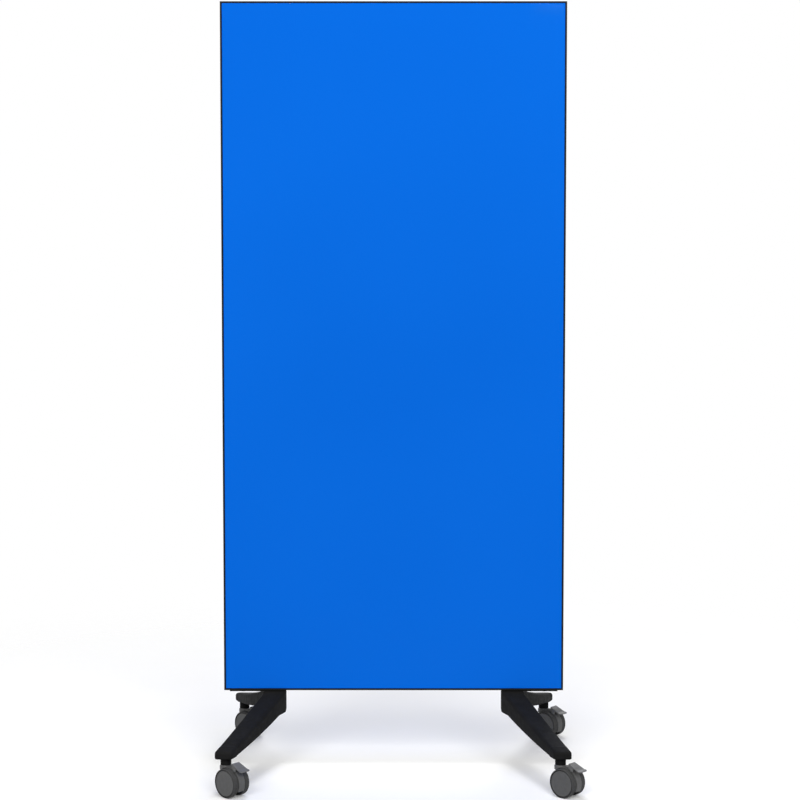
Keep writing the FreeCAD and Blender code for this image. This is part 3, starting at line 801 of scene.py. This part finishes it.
floor_size = 14
fade_radius = 2.38
bpy.ops.mesh.primitive_grid_add(x_subdivisions=8, y_subdivisions=8, size=floor_size)
floor = bpy.context.object
floor.name = "floor"
paving = Finish("pale_floor", Roughness=0.85, Specular_IOR_Level=0.1)
paving.tint(paving.pattern(0.4, detail=4.0), grey(0.86), grey(0.88))
seen = seen_rays(paving.nodes, paving.links)
paint = paving.nodes.new("ShaderNodeMix")
paint.data_type = "RGBA"
dull, pale = [socket for socket in paint.inputs if socket.type == "RGBA"]
painted = next(socket for socket in paint.outputs if socket.type == "RGBA")
floor_colour = paving.shader.inputs["Base Color"]
dull.default_value = (*grey(0.50), 1)
paving.links.new(seen, paint.inputs["Factor"])
paving.links.new(floor_colour.links[0].from_socket, pale)
paving.links.new(painted, floor_colour)
paving.shader.inputs["Emission Color"].default_value = (1, 1, 1, 1)
glow = paving.nodes.new("ShaderNodeMath")
glow.operation = "MULTIPLY"
glow.inputs[1].default_value = 0.13
paving.links.new(seen, glow.inputs[0])
paving.links.new(glow.outputs["Value"], paving.shader.inputs["Emission Strength"])
ball = paving.nodes.new("ShaderNodeTexGradient")
ball.gradient_type = "SPHERICAL"
reach = paving.nodes.new("ShaderNodeMapping")
reach.inputs["Scale"].default_value = [1 / fade_radius] * 3
fade = paving.nodes.new("ShaderNodeMapRange")
fade.interpolation_type = "SMOOTHSTEP"
fade.inputs["From Max"].default_value = 0.6
clear = paving.nodes.new("ShaderNodeBsdfTransparent")
mixed = paving.nodes.new("ShaderNodeMixShader")
ground = paving.nodes["Material Output"]
paving.links.new(paving.place, reach.inputs["Vector"])
paving.links.new(reach.outputs["Vector"], ball.inputs["Vector"])
paving.links.new(ball.outputs["Fac"], fade.inputs["Value"])
paving.links.new(fade.outputs["Result"], mixed.inputs["Fac"])
paving.links.new(clear.outputs["BSDF"], mixed.inputs[1])
paving.links.new(paving.shader.outputs["BSDF"], mixed.inputs[2])
paving.links.new(mixed.outputs["Shader"], ground.inputs["Surface"])
floor.data.materials.append(paving.material)
floor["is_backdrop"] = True
print("floor", floor.dimensions[:2])

# %% [markdown]
# ## Soft studio light
# Two large soft lamps stand left and right in front, out of the mirror angle of the glass.
# A weaker lamp behind lights the rear, and a small one overhead lights the tops of the feet and casters.
# The world adds an even fill, while camera and mirror rays see it as plain white.
# The level is set so that a colour comes out about as it was written.

# %% Lamps and world
lamp_target = Vector((0, 0, 0.8))


def soft_lamp(name, place, power, size):
    lamp = bpy.data.lights.new(name, "AREA")
    lamp.energy = power
    lamp.size = size
    stand = bpy.data.objects.new(name, lamp)
    stand.location = place
    aim = lamp_target - Vector(place)
    stand.rotation_euler = aim.to_track_quat("-Z", "Y").to_euler()
    scene.collection.objects.link(stand)


soft_lamp("key_lamp", (-2.0, -6.0, 4.5), power=252, size=3.4)
soft_lamp("fill_lamp", (2.2, -6.0, 4.3), power=210, size=3.4)
soft_lamp("back_lamp", (0.6, 3.6, 3.0), power=84, size=2.4)
soft_lamp("top_lamp", (0.0, -0.3, 4.6), power=56, size=1.0)

studio = bpy.data.worlds.new("white_studio")
studio.use_nodes = True
nodes, links = studio.node_tree.nodes, studio.node_tree.links
room = nodes["Background"]
room.inputs["Color"].default_value = (1, 1, 1, 1)
room.inputs["Strength"].default_value = 0.25
white = nodes.new("ShaderNodeBackground")
white.inputs["Color"].default_value = (1, 1, 1, 1)
white.inputs["Strength"].default_value = 1.0
choice = nodes.new("ShaderNodeMixShader")
links.new(seen_rays(nodes, links), choice.inputs["Fac"])
links.new(room.outputs["Background"], choice.inputs[1])
links.new(white.outputs["Background"], choice.inputs[2])
links.new(choice.outputs["Shader"], nodes["World Output"].inputs["Surface"])
scene.world = studio

# %% [markdown]
# ## Camera
# The picture is taken from in front with a long lens, from above the middle of the board, tilted down.
# The place and lens come from fitting the board's corners and the wheels to their places in the photograph.
# A small shift of the lens takes part of the tilt, so that the upright edges stay nearly parallel.

# %% Camera
lens = bpy.data.cameras.new("photo_camera")
lens.lens = 85.30
lens.sensor_width = 36.0
lens.shift_y = -0.04
camera = bpy.data.objects.new("photo_camera", lens)
camera.location = (0.0200, -4.8689, 1.3783)
camera.rotation_euler = (math.radians(90 - 4.042), 0, math.radians(0.041))
scene.collection.objects.link(camera)
scene.camera = camera
print("camera at", camera.location[:])

# %% [markdown]
# The dressed model must not outgrow the CAD box, so its own box is printed.

# %% Finish
low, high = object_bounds()
print("dressed box", low[:], high[:])
